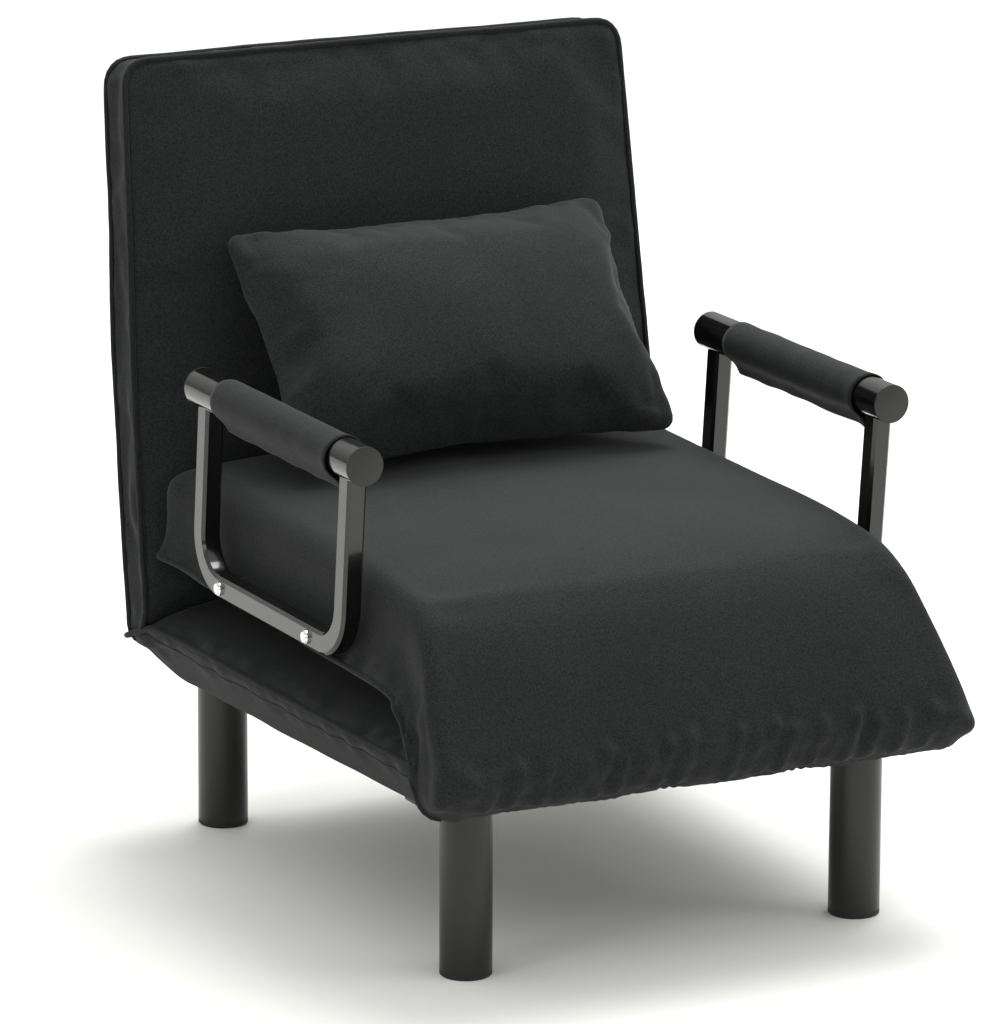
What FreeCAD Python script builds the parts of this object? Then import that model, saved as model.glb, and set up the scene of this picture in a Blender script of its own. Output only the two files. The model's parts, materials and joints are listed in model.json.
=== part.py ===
import FreeCAD, Part
import math
import os

# Convertible chair bed. Three padded sections fold on steel frames: the base section stands on
# four legs, the seat section lies folded on it and swings over to the front, where its arms become
# the legs of the foot end, and the backrest reclines flat over a folding stand.
# Millimetres, +Z up, +Y to the back, left and right as seen from the front.
# Heights are above the floor, and depths are measured from the middle of the four legs.

# Legs
leg_diameter = 50.0
leg_wall = 1.5
leg_inset_x = 39.5
leg_half_spacing_y = 270.0
leg_top_z = 163.0
leg_end_plate = 4.0
foot_height = 6.0
foot_plug_height = 16.0
foot_plug_gap = 0.3
leg_plate_size = 74.0
leg_plate_edge_y = 295.0
stud_diameter = 10.0
stud_length = 20.0

# Steel frames inside the three sections
tube_width = 25.0
tube_wall = 1.5
base_tube_height = 20.0
seat_tube_height = 25.0
back_tube_depth = 20.0
base_frame_half_width = 250.0
base_frame_z = 168.0
base_frame_front_y = -290.0
base_frame_rear_y = 284.0
base_cross_y = (-100.0, 100.0)
seat_frame_z = 282.5
seat_frame_front_y = -290.0
seat_frame_rear_y = 250.0
seat_cross_y = (-97.0, 98.0)
back_frame_low = 32.0
back_frame_high = 556.0
back_frame_depth = -12.0
back_cross_heights = (220.0, 420.0)
strap_width = 50.0
strap_thickness = 1.6
straps_across = 5
straps_along = 3

# Arms
arm_offset = 32.5
arm_tube_x = 20.0
arm_tube_in_plane = 22.0
arm_tube_corner = 3.0
arm_tube_wall = 1.8
arm_low_z = 295.0
arm_front_y = -161.0
arm_rear_y = 152.5
arm_lean = 5.5
arm_bend_radius = 45.0
bar_diameter = 38.0
bar_wall = 2.0
bar_z = 483.0
bar_front_y = -204.0
bar_rear_y = 159.0
cap_thickness = 3.0
cap_plug = 14.0
cap_dome = 1.5
sleeve_outer_radius = 21.5
sleeve_thickness = 2.2
sleeve_front_y = -160.0
sleeve_rear_y = 96.0
sleeve_tab_drop = 12.0
sleeve_tab_thickness = 3.0
arm_bolt_y = (-97.0, 98.0)
arm_bolt_radius = 4.0
arm_bolt_head_radius = 7.0
arm_bolt_head_height = 4.0
arm_bolt_head_chamfer = 1.8
spacer_radius = 8.0

# Hinges
hinge_plate = 4.0
hinge_gap = 0.4
fold_y = -300.0
fold_boss = 11.0
fold_plate_back = 21.0
recline_y = 300.0
recline_z = 195.0
recline_boss = 18.0
recline_arm_length = 150.0
recline_strap_length = 110.0
recline_strap_end = 18.0
back_lean = 8.2
pin_radius = 4.0
pin_head_radius = 7.0
pin_head = 2.5
pawl_teeth = 9
pawl_tooth_depth = 2.4
pawl_length = 34.0
pawl_tip = 3.0

# Stand under the head end
stand_pivot_height = 470.0
stand_pivot_depth = 28.0
stand_tube = 20.0
stand_wall = 1.5
stand_corner = 2.5
stand_inset = 22.0
stand_bend_radius = 36.0
stand_sole = 3.0
stand_foot_length = 34.0
stand_foot_inset = 60.0
ear_thickness = 4.0
ear_width = 22.0

# Padding
base_bottom_z = 160.0
base_bottom_cover = 12.0
base_seam_z = 198.0
base_piping_z = 213.0
base_cover = 31.0
base_front_y = -298.0
base_rear_y = 266.0
base_lip_y = 325.0
base_lip_cover = 26.0
base_end_length = 34.0
base_end_fall = 14.0
base_top_flats = 8
seat_cover = 22.0
seat_piping_z = 277.0
seat_edge_z = 378.0
seat_crown_z = 390.0
seat_front_y = -298.0
seat_rear_y = 268.0
seat_shoulder = 30.0
seat_side_draw = 4.0
seat_crown_flats = 10
seat_shoulder_flats = 4
seat_front_fall = 58.0
seat_roll_gap = 4.0
back_cover_low = 42.0
back_cover_high = 31.0
back_front_depth = -31.5
back_rear_depth = 13.0
back_crown = 22.0
back_bottom = -5.0
back_top = 575.0
back_corner_radius = 28.0
back_side_draw = 3.0
back_crown_flats = 12
roll_cover = 31.0
roll_nose_y = -366.0
roll_nose_z = 212.0
roll_bulge = 14.0
roll_turn = 20.0
roll_face_flats = 5
roll_turn_flats = 3
roll_hem_z = 178.0
roll_hem_inset = 13.0
roll_end_length = 70.0
roll_end_narrowing = 17.0
pillow_width = 424.0
pillow_height = 270.0
pillow_thickness = 130.0
pillow_flats = 14
pillow_lean = 40.3
pillow_x = 10.0
pillow_y = 199.4
pillow_z = 499.6

# Clearances
seat_gap = 0.3
cover_gap = 0.5
running_gap = 0.06
swing_gap = 1.0
lip_gap = 3.0

# The origin lies on the floor under the middle of the chair's depth
origin_y = 18.8

# Values that follow from the ones above
fold_z = (bar_z + sleeve_outer_radius) / 2
seat_frame_half_width = base_frame_half_width + hinge_plate + hinge_gap
back_frame_half_width = seat_frame_half_width
leg_half_spacing_x = base_frame_half_width - leg_inset_x
leg_radius = leg_diameter / 2
arm_x = base_frame_half_width + arm_offset
bar_radius = bar_diameter / 2
outer_plate_x = base_frame_half_width + hinge_plate + hinge_gap
outer_plate_end_x = outer_plate_x + hinge_plate
pin_end_x = outer_plate_end_x + pin_head
base_frame_top_z = base_frame_z + base_tube_height
seat_frame_top_z = seat_frame_z + seat_tube_height
webbing_thickness = 2 * strap_thickness
stand_half_width = base_frame_half_width - stand_inset
stand_length = recline_z - stand_pivot_depth - stand_tube / 2 - stand_sole
base_bottom_half = base_frame_half_width + base_bottom_cover
base_half = base_frame_half_width + base_cover
base_lip_half = base_frame_half_width + base_lip_cover
seat_half = base_frame_half_width + seat_cover
back_half_low = base_frame_half_width + back_cover_low
back_half_high = base_frame_half_width + back_cover_high
roll_half = base_frame_half_width + roll_cover


def vec(x, y, z):
    return FreeCAD.Vector(x, y, z)


def block(x0, x1, y0, y1, z0, z1):
    return Part.makeBox(x1 - x0, y1 - y0, z1 - z0, vec(x0, y0, z0))


def rod(radius, start, end):
    way = end.sub(start)
    return Part.makeCylinder(radius, way.Length, start, way)


def fused(shapes):
    whole = shapes[0]
    for shape in shapes[1:]:
        whole = whole.fuse(shape)
    return whole.removeSplitter()


def cut_by(shape, tools):
    for tool in tools:
        shape = shape.cut(tool)
    return shape


def mirrored(shape):
    return shape.mirror(vec(0, 0, 0), vec(1, 0, 0))


def both_sides(shape):
    return [shape, mirrored(shape)]


def arc(a, b, c):
    return Part.Arc(a, b, c).toShape()


def line(a, b):
    return Part.LineSegment(a, b).toShape()


def curved(a, middle, b, flats):
    # The points of an arc cut into a few flats, without its last point
    return arc(a, middle, b).discretize(flats + 1)[:-1]


def triangle(a, b, c):
    return Part.Face(Part.makePolygon([a, b, c, a]))


def quilted(rings):
    # A soft form as plain triangles between rings of points, so that its many curves stay light
    faces = []
    for low, high in zip(rings, rings[1:]):
        for i in range(len(low)):
            faces.append(triangle(low[i - 1], low[i], high[i]))
            faces.append(triangle(low[i - 1], high[i], high[i - 1]))
    for ring in (rings[0], rings[-1]):
        faces.append(Part.Face(Part.makePolygon(ring + [ring[0]])))
    solid = Part.makeSolid(Part.makeShell(faces))
    if solid.Volume < 0:
        solid.reverse()
    return solid


def to_back(shape):
    # Backrest pieces are drawn upright: Y is depth behind the pivot and Z is height above it
    shape = shape.copy()
    shape.rotate(vec(0, 0, 0), vec(1, 0, 0), -back_lean)
    shape.translate(vec(0, recline_y, recline_z))
    return shape


def save(name, pieces):
    shape = pieces[0] if len(pieces) == 1 else Part.makeCompound(pieces)
    shape = shape.copy()
    shape.translate(vec(0, -origin_y, 0))
    shape.exportStep(os.path.join("parts", name + ".step"))


# Steel frames

def tube_frame(half, y0, y1, z0, z1, crosses):
    # Two open side tubes joined by cross tubes whose bores open into them
    outer = []
    inner = []
    for side in (-1, 1):
        a, b = sorted((side * half, side * (half - tube_width)))
        outer.append(block(a, b, y0, y1, z0, z1))
        inner.append(block(a + tube_wall, b - tube_wall, y0 - 1, y1 + 1, z0 + tube_wall, z1 - tube_wall))
    reach = half - tube_width
    for middle in (y0 + tube_width / 2,) + tuple(crosses) + (y1 - tube_width / 2,):
        a = middle - tube_width / 2
        b = middle + tube_width / 2
        outer.append(block(-reach, reach, a, b, z0, z1))
        bore = block(-reach - 2 * tube_wall, reach + 2 * tube_wall, a + tube_wall, b - tube_wall,
                     z0 + tube_wall, z1 - tube_wall)
        inner.append(bore)
    return fused(outer).cut(fused(inner))


def webbing(half, y0, y1, z):
    # Straps across the frame, and straps along it that lie on them
    straps = []
    pitch = (y1 - y0 - strap_width) / (straps_across - 1)
    for i in range(straps_across):
        y = y0 + i * pitch
        straps.append(block(-half, half, y, y + strap_width, z, z + strap_thickness))
    pitch = (2 * half - 2 * tube_width - strap_width) / (straps_along - 1)
    for i in range(straps_along):
        x = -half + tube_width + i * pitch
        straps.append(block(x, x + strap_width, y0, y1, z + strap_thickness, z + 2 * strap_thickness))
    return fused(straps)


def upright(shape):
    # Turns a frame that was drawn lying flat so that its top face looks to the front
    shape = shape.copy()
    shape.rotate(vec(0, 0, 0), vec(1, 0, 0), 90)
    return shape


def base_frame():
    return tube_frame(base_frame_half_width, base_frame_front_y, base_frame_rear_y,
                      base_frame_z, base_frame_top_z, base_cross_y)


def seat_frame():
    frame = tube_frame(seat_frame_half_width, seat_frame_front_y, seat_frame_rear_y,
                       seat_frame_z, seat_frame_top_z, seat_cross_y)
    holes = []
    for y in arm_bolt_y:
        start = vec(seat_frame_half_width - 2 * tube_wall, y, arm_low_z)
        hole = rod(arm_bolt_radius + running_gap, start, vec(seat_frame_half_width + 1, y, arm_low_z))
        holes += both_sides(hole)
    return cut_by(frame, holes)


def back_frame():
    flat = tube_frame(back_frame_half_width, back_frame_low, back_frame_high,
                      -back_frame_depth - back_tube_depth, -back_frame_depth, back_cross_heights)
    return to_back(upright(flat))


# Legs

def leg_spots():
    spots = []
    for row, sy in (("front", -1), ("rear", 1)):
        for side, sx in (("left", -1), ("right", 1)):
            spots.append((row + "_" + side, sx * leg_half_spacing_x, sy * leg_half_spacing_y))
    return spots


def leg(x, y):
    low = vec(x, y, foot_height)
    top = vec(x, y, leg_top_z)
    tube = rod(leg_radius, low, top).cut(rod(leg_radius - leg_wall, low, vec(x, y, leg_top_z - leg_end_plate)))
    return tube.cut(rod(stud_diameter / 2, vec(x, y, leg_top_z - leg_end_plate), top))


def leg_foot(x, y):
    disc = rod(leg_radius, vec(x, y, 0), vec(x, y, foot_height))
    edge = [e for e in disc.Edges if abs(e.BoundBox.ZMax) < 0.01 and e.Closed]
    disc = disc.makeChamfer(1.2, edge)
    plug = rod(leg_radius - leg_wall - foot_plug_gap, vec(x, y, foot_height),
               vec(x, y, foot_height + foot_plug_height))
    return disc.fuse(plug)


def leg_plate(x, y):
    # A square plate under the frame's corner, with the hole for the leg's stud
    half = leg_plate_size / 2
    cx = math.copysign(base_frame_half_width - half, x)
    cy = math.copysign(leg_plate_edge_y - half, y)
    plate = block(cx - half, cx + half, cy - half, cy + half, leg_top_z, base_frame_z)
    return plate.cut(rod(stud_diameter / 2 + running_gap, vec(x, y, leg_top_z), vec(x, y, base_frame_z)))


def leg_stud(x, y):
    return rod(stud_diameter / 2, vec(x, y, base_frame_z - stud_length), vec(x, y, base_frame_z))


# Hinges

def link(radius, x0, x1, a, b):
    # A flat plate with round ends between the points a and b, each a pair of depth and height
    ends = [rod(radius, vec(x0, p[0], p[1]), vec(x1, p[0], p[1])) for p in (a, b)]
    way = vec(0, b[0] - a[0], b[1] - a[1])
    side = vec(0, -way.z, way.y)
    side.normalize()
    side.multiply(radius)
    start = vec(x0, a[0], a[1])
    corners = [start.add(side), start.add(side).add(way), start.sub(side).add(way), start.sub(side)]
    middle = Part.Face(Part.makePolygon(corners + [corners[0]])).extrude(vec(x1 - x0, 0, 0))
    return fused([ends[0], middle, ends[1]])


def fold_points(z):
    return (fold_y, fold_z), (fold_y + fold_plate_back, z)


def fold_link(radius, x0, x1, z):
    a, b = fold_points(z)
    return link(radius, x0, x1, a, b)


def turned_over(shape):
    # Where the seat section goes when it is folded out
    shape = shape.copy()
    shape.rotate(vec(0, fold_y, fold_z), vec(1, 0, 0), 180)
    return shape


def fold_hole():
    return rod(pin_radius + running_gap, vec(base_frame_half_width - 1, fold_y, fold_z),
               vec(pin_end_x, fold_y, fold_z))


def fold_plate_base():
    z = base_frame_z + base_tube_height / 2
    plate = fold_link(fold_boss, base_frame_half_width, base_frame_half_width + hinge_plate, z)
    return plate.cut(fold_hole())


def fold_plate_seat():
    z = seat_frame_z + seat_tube_height / 2
    return fold_link(fold_boss, outer_plate_x, outer_plate_end_x, z).cut(fold_hole())


def hinge_pin(y, z):
    shank = rod(pin_radius, vec(base_frame_half_width - pin_head, y, z), vec(pin_end_x, y, z))
    inner = rod(pin_head_radius, vec(base_frame_half_width - pin_head, y, z), vec(base_frame_half_width, y, z))
    outer = rod(pin_head_radius, vec(outer_plate_end_x, y, z), vec(pin_end_x, y, z))
    return fused([shank, inner, outer])


def recline_hole():
    return rod(pin_radius + running_gap, vec(base_frame_half_width - 1, recline_y, recline_z),
               vec(pin_end_x, recline_y, recline_z))


def recline_plate_base():
    # Bolted along the base frame's side tube, with a round eye for the backrest's pin
    x0 = base_frame_half_width
    x1 = x0 + hinge_plate
    strap = block(x0, x1, recline_y - recline_strap_length, recline_y - recline_strap_end,
                  base_frame_z, base_frame_top_z)
    eye = link(recline_boss, x0, x1, (recline_y, recline_z), (recline_y - 2 * recline_boss, recline_z))
    eye = eye.cut(block(x0, x1, 0, recline_y - recline_boss, base_frame_top_z, recline_z + recline_boss))
    plate = fused([strap, eye])
    return plate.cut(recline_hole())


def recline_plate_back():
    # A notched disc on the pin and a strap up the backrest's side tube
    x0 = outer_plate_x
    x1 = outer_plate_end_x
    centre = vec(x0, 0, 0)
    disc = rod(recline_boss, centre, vec(x1, 0, 0))
    notches = []
    for i in range(pawl_teeth):
        angle = math.radians(190 + i * 90 / (pawl_teeth - 1))
        reach = recline_boss + pawl_tooth_depth / 2
        spot = vec(x0, reach * math.cos(angle), reach * math.sin(angle))
        notches.append(rod(pawl_tooth_depth, spot, spot.add(vec(hinge_plate, 0, 0))))
    strap = block(x0, x1, back_frame_depth, back_frame_depth + back_tube_depth, 0, recline_arm_length)
    plate = fused([cut_by(disc, notches), strap])
    plate = to_back(plate)
    return plate.cut(recline_hole())


def recline_pawl():
    # The pawl stands just off the rim of the notched disc, on the base's plate
    x0 = outer_plate_x
    x1 = outer_plate_end_x
    angle = math.radians(200)
    reach = recline_boss + pawl_tip + seat_gap
    tip = (recline_y + reach * math.cos(angle), recline_z + reach * math.sin(angle))
    root = (tip[0] - pawl_length * math.cos(math.radians(8)), tip[1] - pawl_length * math.sin(math.radians(8)))
    arm = link(pawl_tip, x0, x1, root, tip)
    hub = rod(2 * pawl_tip, vec(x0, root[0], root[1]), vec(x1, root[0], root[1]))
    foot = rod(pawl_tip, vec(base_frame_half_width + hinge_plate, root[0], root[1]), vec(x0, root[0], root[1]))
    return fused([arm, hub, foot])


# Arms

def bend(before, corner, after, radius):
    # Where a corner of a path is rounded: the start and end of its arc, and the arc's centre
    back = before.sub(corner).normalize()
    on = after.sub(corner).normalize()
    half = back.getAngle(on) / 2
    cut = radius / math.tan(half)
    start = corner.add(FreeCAD.Vector(back).multiply(cut))
    end = corner.add(FreeCAD.Vector(on).multiply(cut))
    inward = FreeCAD.Vector(back).add(on).normalize()
    centre = corner.add(inward.multiply(radius / math.sin(half)))
    return start, end, centre


def tube_profile(centre, across, up, width, height, corner):
    # A rectangle with bevelled corners about centre, in the plane of the unit directions across and up
    w = width / 2
    h = height / 2
    ring = [(w, h - corner), (w - corner, h), (corner - w, h), (-w, h - corner),
            (-w, corner - h), (corner - w, -h), (w - corner, -h), (w, corner - h)]
    if corner == 0:
        ring = [(w, h), (-w, h), (-w, -h), (w, -h)]
    points = []
    for a, b in ring:
        points.append(centre.add(FreeCAD.Vector(across).multiply(a)).add(FreeCAD.Vector(up).multiply(b)))
    return Part.Face(Part.makePolygon(points + [points[0]]))


def bent_bar(points, radius, across, width, height, corner):
    # Straight runs along a flat path, with revolved corners between them; across is square to the path
    pieces = []
    here = points[0]
    for i in range(1, len(points)):
        way = points[i].sub(points[i - 1]).normalize()
        up = way.cross(across)
        last = i == len(points) - 1
        start, end, centre = (points[i], None, None) if last else bend(points[i - 1], points[i], points[i + 1], radius)
        pieces.append(tube_profile(here, across, up, width, height, corner).extrude(start.sub(here)))
        if not last:
            on = points[i + 1].sub(points[i]).normalize()
            axis = FreeCAD.Vector(way).cross(on)
            angle = math.degrees(way.getAngle(on))
            pieces.append(tube_profile(start, across, up, width, height, corner).revolve(centre, axis, angle))
            here = end
    return fused(pieces)


def bent_tube(points, radius, across, width, height, corner, wall):
    outer = bent_bar(points, radius, across, width, height, corner)
    return outer.cut(bent_bar(points, radius, across, width - 2 * wall, height - 2 * wall, 0))


def arm_frame():
    rise = (bar_z - arm_low_z) * math.tan(math.radians(arm_lean))
    corners = [vec(arm_x, arm_front_y - rise, bar_z), vec(arm_x, arm_front_y, arm_low_z),
               vec(arm_x, arm_rear_y, arm_low_z), vec(arm_x, arm_rear_y - rise, bar_z)]
    tube = bent_tube(corners, arm_bend_radius, vec(1, 0, 0), arm_tube_x, arm_tube_in_plane, arm_tube_corner,
                     arm_tube_wall)
    bar = rod(bar_radius + running_gap, vec(arm_x, bar_front_y, bar_z), vec(arm_x, bar_rear_y, bar_z))
    above = block(arm_x - 2 * arm_tube_x, arm_x + 2 * arm_tube_x, bar_front_y, bar_rear_y,
                  bar_z - bar_radius / 2, bar_z + bar_diameter)
    holes = []
    for y in arm_bolt_y:
        holes.append(rod(arm_bolt_radius + running_gap, vec(arm_x - arm_tube_x, y, arm_low_z),
                         vec(arm_x + arm_tube_x, y, arm_low_z)))
    return cut_by(tube, [above, bar] + holes)


def arm_bar():
    front = bar_front_y + cap_thickness
    rear = bar_rear_y - cap_thickness
    outer = rod(bar_radius, vec(arm_x, front, bar_z), vec(arm_x, rear, bar_z))
    return outer.cut(rod(bar_radius - bar_wall, vec(arm_x, front, bar_z), vec(arm_x, rear, bar_z)))


def bar_end_cap(end_y, way):
    # A moulded plug with a slightly domed face; way points out of the tube
    seat_y = end_y - way * cap_thickness
    plug = rod(bar_radius - bar_wall - foot_plug_gap, vec(arm_x, seat_y - way * cap_plug, bar_z),
               vec(arm_x, seat_y, bar_z))
    disc = rod(bar_radius, vec(arm_x, seat_y, bar_z), vec(arm_x, end_y, bar_z))
    ball_radius = (bar_radius ** 2 + cap_dome ** 2) / (2 * cap_dome)
    dome = Part.makeSphere(ball_radius, vec(arm_x, end_y - way * ball_radius, bar_z))
    return plug.fuse(disc.common(dome))


def arm_sleeve():
    # A strip of cover cloth wrapped round the bar, its two edges closed in a tab underneath
    front = vec(arm_x, sleeve_front_y, bar_z)
    rear = vec(arm_x, sleeve_rear_y, bar_z)
    wrap = rod(sleeve_outer_radius, front, rear)
    low = bar_z - sleeve_outer_radius - sleeve_tab_drop
    half = sleeve_tab_thickness / 2
    tab = block(arm_x - half, arm_x + half, sleeve_front_y + 8, sleeve_rear_y - 8, low, bar_z - bar_radius - 1)
    return wrap.fuse(tab).cut(rod(sleeve_outer_radius - sleeve_thickness, front, rear))


def arm_bolt(y):
    face_x = arm_x + arm_tube_x / 2
    shoulder_x = face_x + arm_bolt_head_height - arm_bolt_head_chamfer
    head = rod(arm_bolt_head_radius, vec(face_x, y, arm_low_z), vec(shoulder_x, y, arm_low_z))
    crown = Part.makeCone(arm_bolt_head_radius, arm_bolt_head_radius - arm_bolt_head_chamfer,
                          arm_bolt_head_chamfer, vec(shoulder_x, y, arm_low_z), vec(1, 0, 0))
    shank = rod(arm_bolt_radius, vec(seat_frame_half_width - 2 * tube_wall, y, arm_low_z), vec(face_x, y, arm_low_z))
    return fused([head, crown, shank])


def arm_spacer(y):
    ends = vec(seat_frame_half_width, y, arm_low_z), vec(arm_x - arm_tube_x / 2, y, arm_low_z)
    return rod(spacer_radius, *ends).cut(rod(arm_bolt_radius + running_gap, *ends))


# Stand under the head end

def stand_hole(radius):
    start = vec(stand_half_width - stand_tube, stand_pivot_depth, stand_pivot_height)
    return rod(radius, start, start.add(vec(2 * stand_tube, 0, 0)))


def head_stand():
    y = stand_pivot_depth
    low = stand_pivot_height - stand_length
    top = stand_pivot_height + stand_tube / 2
    corners = [vec(-stand_half_width, y, top), vec(-stand_half_width, y, low),
               vec(stand_half_width, y, low), vec(stand_half_width, y, top)]
    tube = bent_tube(corners, stand_bend_radius, vec(0, 1, 0), stand_tube, stand_tube, stand_corner, stand_wall)
    return to_back(cut_by(tube, both_sides(stand_hole(pin_radius + running_gap))))


def stand_ear():
    x0 = stand_half_width + stand_tube / 2 + seat_gap
    x1 = x0 + ear_thickness
    root = back_frame_depth + back_tube_depth
    plate = link(ear_width / 2, x0, x1, (stand_pivot_depth, stand_pivot_height), (root, stand_pivot_height))
    plate = plate.cut(block(x0, x1, root - 2 * ear_width, root, stand_pivot_height - ear_width,
                            stand_pivot_height + ear_width))
    return to_back(plate.cut(stand_hole(pin_radius + running_gap)))


def stand_bolt():
    y = stand_pivot_depth
    z = stand_pivot_height
    inner = stand_half_width - stand_tube / 2
    outer = stand_half_width + stand_tube / 2 + seat_gap + ear_thickness
    shank = rod(pin_radius, vec(inner - pin_head, y, z), vec(outer + pin_head, y, z))
    heads = [rod(pin_head_radius, vec(inner - pin_head, y, z), vec(inner, y, z)),
             rod(pin_head_radius, vec(outer, y, z), vec(outer + pin_head, y, z))]
    return to_back(fused([shank] + heads))


def stand_foot():
    # A moulded sleeve round the cross tube
    x1 = stand_half_width - stand_foot_inset
    x0 = x1 - stand_foot_length
    low = stand_pivot_height - stand_length
    half = stand_tube / 2
    outer = half + stand_sole
    sleeve = block(x0, x1, stand_pivot_depth - outer, stand_pivot_depth + outer, low - outer, low + outer)
    bore = block(x0, x1, stand_pivot_depth - half - running_gap, stand_pivot_depth + half + running_gap,
                 low - half - running_gap, low + half + running_gap)
    return to_back(sleeve.cut(bore))


# Padding

def base_section(y, piping_z, crown_z):
    # Flat under the frame, slanted cover up to a seam, a narrow band, and a crowned top
    def at(x, z):
        return vec(x, y, z)

    low = base_bottom_half
    out = base_half
    seam = piping_z - base_piping_z + base_seam_z
    top = curved(at(out, piping_z), at(0, crown_z), at(-out, piping_z), base_top_flats)
    return [at(-low, base_bottom_z), at(low, base_bottom_z), at(out, seam)] + top + [at(-out, piping_z), at(-out, seam)]


def base_lip():
    # The padding that runs on behind the frame, below the turning end of the backrest
    def at(y, z):
        return vec(-base_lip_half, y, z)

    step_z = base_frame_top_z + 2 * cover_gap
    low_top = recline_z - math.hypot(back_rear_depth, back_bottom) - lip_gap
    inner_y = base_rear_y - 12
    step_y = base_frame_rear_y + 2
    mid_z = (base_bottom_z + low_top) / 2
    edges = [
        line(at(inner_y, base_bottom_z), at(base_lip_y - 6, base_bottom_z)),
        arc(at(base_lip_y - 6, base_bottom_z), at(base_lip_y, mid_z), at(base_lip_y - 6, low_top)),
        line(at(base_lip_y - 6, low_top), at(step_y + 2, low_top)),
        line(at(step_y + 2, low_top), at(step_y, step_z)),
        line(at(step_y, step_z), at(inner_y, step_z)),
        line(at(inner_y, step_z), at(inner_y, base_bottom_z)),
    ]
    return Part.Face(Part.Wire(edges)).extrude(vec(2 * base_lip_half, 0, 0))


def base_end(y, way):
    # The top and its piping draw down towards an end of the section
    top = fold_z - seat_gap / 2
    rows = []
    for share in (0, 0.45, 0.75, 0.92, 1):
        fall = base_end_fall * (1 - math.sqrt(1 - (0.98 * share) ** 2))
        rows.append((y - way * base_end_length * (1 - share), base_piping_z - fall / 3, top - fall))
    return rows


def base_pad():
    rows = base_end(base_front_y, -1)[::-1] + base_end(base_rear_y, 1)
    pad = quilted([base_section(*row) for row in rows])
    pad = pad.fuse(base_lip())
    g = cover_gap
    side = base_frame_half_width + hinge_plate + g
    plates = block(-side, side, -leg_plate_edge_y - g, leg_plate_edge_y + g, leg_top_z - seat_gap, base_frame_z + g)
    cavity = [plates,
              block(-side, side, base_frame_front_y - g, base_frame_rear_y + g, base_frame_z, base_frame_top_z + g),
              block(-side, side, base_frame_front_y - g, base_rear_y - 4, base_frame_top_z,
                    base_frame_top_z + webbing_thickness + seat_gap)]
    for name, x, y in leg_spots():
        cavity.append(rod(leg_radius + g, vec(x, y, base_bottom_z - 1), vec(x, y, leg_top_z)))
    x0 = base_frame_half_width - g
    inner = fold_link(fold_boss + swing_gap, x0, outer_plate_x - hinge_gap + g, base_frame_z + base_tube_height / 2)
    passing = turned_over(fold_link(fold_boss + swing_gap, outer_plate_x - g, outer_plate_end_x + g,
                                    seat_frame_z + seat_tube_height / 2))
    pivot = rod(fold_boss + swing_gap, vec(x0 - pin_head, fold_y, fold_z), vec(pin_end_x + g, fold_y, fold_z))
    eye = rod(recline_boss + swing_gap, vec(x0 - pin_head, recline_y, recline_z), vec(pin_end_x + g, recline_y, recline_z))
    pawl = block(x0, outer_plate_end_x + g, recline_y - recline_boss - pawl_length - 20, base_rear_y + 40,
                 recline_z - recline_boss - swing_gap, recline_z + swing_gap)
    for tool in (inner, passing, pivot, eye, pawl):
        cavity += both_sides(tool)
    return cut_by(pad, cavity)


def seat_section(y, half, piping_z, under_z, edge_z, crown_z):
    # Crowned under side up to the piping, drawn-in side, round shoulder, crowned top
    def at(x, z):
        return vec(x, y, z)

    s = seat_shoulder
    side_x = half - seat_side_draw
    start_z = edge_z - s
    round_z = edge_z - s * 0.27
    round_x = side_x - s * 0.23
    flat_x = side_x - s
    ring = curved(at(-half, piping_z), at(0, under_z), at(half, piping_z), seat_crown_flats)
    ring += [at(half, piping_z)]
    ring += curved(at(side_x, start_z), at(round_x, round_z), at(flat_x, edge_z), seat_shoulder_flats)
    ring += curved(at(flat_x, edge_z), at(0, crown_z), at(-flat_x, edge_z), seat_crown_flats)
    ring += curved(at(-flat_x, edge_z), at(-round_x, round_z), at(-side_x, start_z), seat_shoulder_flats)
    return ring + [at(-side_x, start_z)]


def seat_row(y, widen, lift, fall):
    under = fold_z + seat_gap / 2
    return (y, seat_half + widen, seat_piping_z + lift, under + lift, seat_edge_z - fall, seat_crown_z - fall)


def seat_pad():
    rows = [seat_row(seat_front_y, 3, 3, seat_front_fall), seat_row(-282, 3, 1, 37), seat_row(-262, 2, 0, 23),
            seat_row(-240, 1, 0, 14), seat_row(-212, 1, 0, 6), seat_row(-175, 0, 0, 1), seat_row(-140, 0, 0, 0),
            seat_row(198, 0, 0, 0), seat_row(225, -0.5, 0.5, 2), seat_row(245, -1.5, 1, 6),
            seat_row(258, -3, 2, 12), seat_row(seat_rear_y, -6, 5, 24)]
    pad = quilted([seat_section(*row) for row in rows])
    g = cover_gap
    side = seat_frame_half_width + seat_gap
    top = seat_frame_top_z + webbing_thickness + seat_gap
    tools = [block(-side, side, seat_frame_front_y - g, seat_frame_rear_y + g, seat_frame_z - seat_gap, top)]
    own = fold_link(fold_boss + swing_gap, outer_plate_x - g, outer_plate_end_x + g,
                    seat_frame_z + seat_tube_height / 2)
    passing = turned_over(fold_link(fold_boss + swing_gap, base_frame_half_width - g, outer_plate_x - hinge_gap + g,
                                    base_frame_z + base_tube_height / 2))
    pivot = rod(fold_boss + swing_gap, vec(base_frame_half_width - pin_head - g, fold_y, fold_z),
                vec(pin_end_x + g, fold_y, fold_z))
    for tool in (own, passing, pivot):
        tools += both_sides(tool)
    for y in arm_bolt_y:
        hole = rod(spacer_radius + seat_gap, vec(side - 1, y, arm_low_z), vec(arm_x, y, arm_low_z))
        tools += both_sides(hole)
    return cut_by(pad, tools)


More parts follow.
